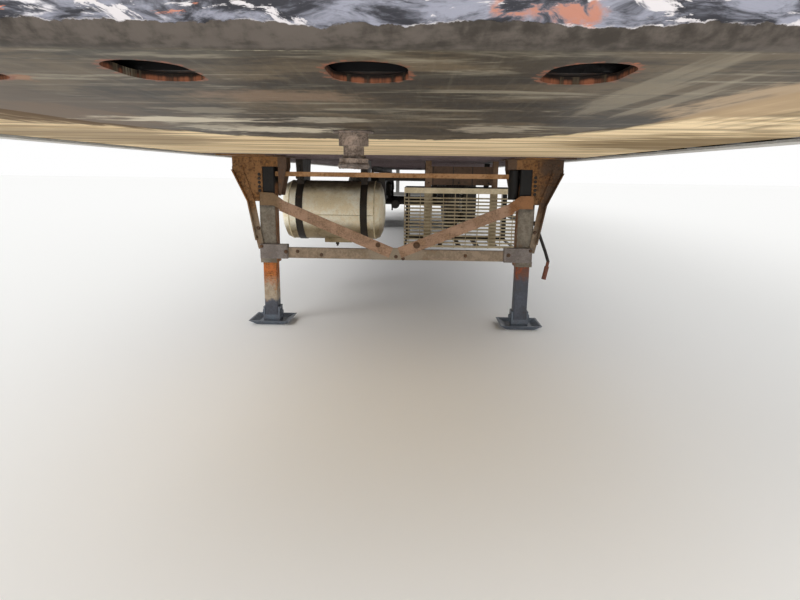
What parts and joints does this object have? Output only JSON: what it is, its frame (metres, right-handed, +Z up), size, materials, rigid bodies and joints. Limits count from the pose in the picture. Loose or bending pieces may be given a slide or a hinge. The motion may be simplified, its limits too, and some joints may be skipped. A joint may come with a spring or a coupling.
{
  "type": "insulated van semi trailer",
  "caption": "Insulated van semi trailer on landing legs and a tandem bogie, with kingpin plate, fuel tank, bar rack, nose cooling unit and swing rear doors.",
  "frame": {"origin": "on the ground, under the middle of the trailer's overall length and width", "axes": "+Z up, +Y towards the rear doors, +X towards the trailer's left side"},
  "size_m": [2.6, 16.674, 4.115],
  "materials": {
    "coupler_steel": "greasy, dusty",
    "kingpin_steel": "greasy forged steel",
    "underframe_steel": "matt, dusty",
    "floor_aluminium": "worn extrusion",
    "wall_skin": "satin, riveted",
    "rail_white": "satin",
    "roof_skin": "dull",
    "frame_stainless": "brushed",
    "door_skin": "satin",
    "door_gear": "galvanised",
    "liner_panel": "matt",
    "unit_white": "moulded",
    "unit_grille": "moulded",
    "connector_metal": "cast",
    "leg_steel": "worn black paint with rust",
    "rusty_steel": "surface rust",
    "tank_aluminium": "dusty",
    "strap_steel": "satin",
    "grate_steel": "dusty",
    "bogie_black": "road grime",
    "axle_steel": "road grime",
    "spring_rubber": "matt",
    "wheel_white": "worn paint",
    "tyre_rubber": "matt",
    "flap_rubber": "matt",
    "lamp_red": "lens",
    "lamp_amber": "lens"
  },
  "bodies": {
    "trailer": {"coupler_plate": "coupler_steel", "kingpin": "kingpin_steel", "underframe": "underframe_steel", "floor_deck": "floor_aluminium", "side_wall_left": "wall_skin", "side_wall_right": "wall_skin", "front_wall": "wall_skin", "bulkhead": "liner_panel", "roof": "roof_skin", "bottom_rails": "rail_white", "top_rails": "rail_white", "rear_frame": "frame_stainless", "cooling_unit": "unit_white", "cooling_grille": "unit_grille", "nose_connectors": "connector_metal", "leg_housings": "leg_steel", "leg_rams": "leg_steel", "sand_shoes": "leg_steel", "leg_brackets": "rusty_steel", "leg_channel": "rusty_steel", "leg_diagonals": "rusty_steel", "leg_shaft": "rusty_steel", "crank_handle": "leg_steel", "fuel_tank": "tank_aluminium", "tank_straps": "strap_steel", "rack_grate": "grate_steel", "rack_frame": "grate_steel", "rack_hangers": "strap_steel", "body_rails": "bogie_black", "bogie_frame": "bogie_black", "suspension_hangers": "bogie_black", "trailing_arms": "bogie_black", "air_springs": "spring_rubber", "axles": "axle_steel", "brake_chambers": "bogie_black", "mud_flaps": "flap_rubber", "flap_brackets": "bogie_black", "rear_guard": "frame_stainless", "lamps_red": "lamp_red", "lamps_amber": "lamp_amber"},
    "wheel_front_left": {"wheels_front_left": "wheel_white", "tyres_front_left": "tyre_rubber"},
    "wheel_front_right": {"wheels_front_right": "wheel_white", "tyres_front_right": "tyre_rubber"},
    "wheel_rear_left": {"wheels_rear_left": "wheel_white", "tyres_rear_left": "tyre_rubber"},
    "wheel_rear_right": {"wheels_rear_right": "wheel_white", "tyres_rear_right": "tyre_rubber"},
    "door_left": {"door_left": "door_skin", "door_left_hinges": "door_gear", "door_left_lock_rods": "door_gear"},
    "door_right": {"door_right": "door_skin", "door_right_hinges": "door_gear", "door_right_lock_rods": "door_gear"}
  },
  "joints": [
    {"name": "wheel_front_left_spin", "type": "hinge", "parent": "trailer", "child": "wheel_front_left", "pos_m": [0.984, 3.463, 0.525], "axis": [1, 0, 0], "continuous": true},
    {"name": "wheel_front_right_spin", "type": "hinge", "parent": "trailer", "child": "wheel_front_right", "pos_m": [-0.984, 3.463, 0.525], "axis": [1, 0, 0], "continuous": true},
    {"name": "wheel_rear_left_spin", "type": "hinge", "parent": "trailer", "child": "wheel_rear_left", "pos_m": [0.984, 4.708, 0.525], "axis": [1, 0, 0], "continuous": true},
    {"name": "wheel_rear_right_spin", "type": "hinge", "parent": "trailer", "child": "wheel_rear_right", "pos_m": [-0.984, 4.708, 0.525], "axis": [1, 0, 0], "continuous": true},
    {"name": "door_left_swing", "type": "hinge", "parent": "trailer", "child": "door_left", "pos_m": [1.288, 8.291, 2.7], "axis": [0, 0, -1], "range_deg": [0, 270]},
    {"name": "door_right_swing", "type": "hinge", "parent": "trailer", "child": "door_right", "pos_m": [-1.288, 8.291, 2.7], "axis": [0, 0, 1], "range_deg": [0, 270]}
  ]
}
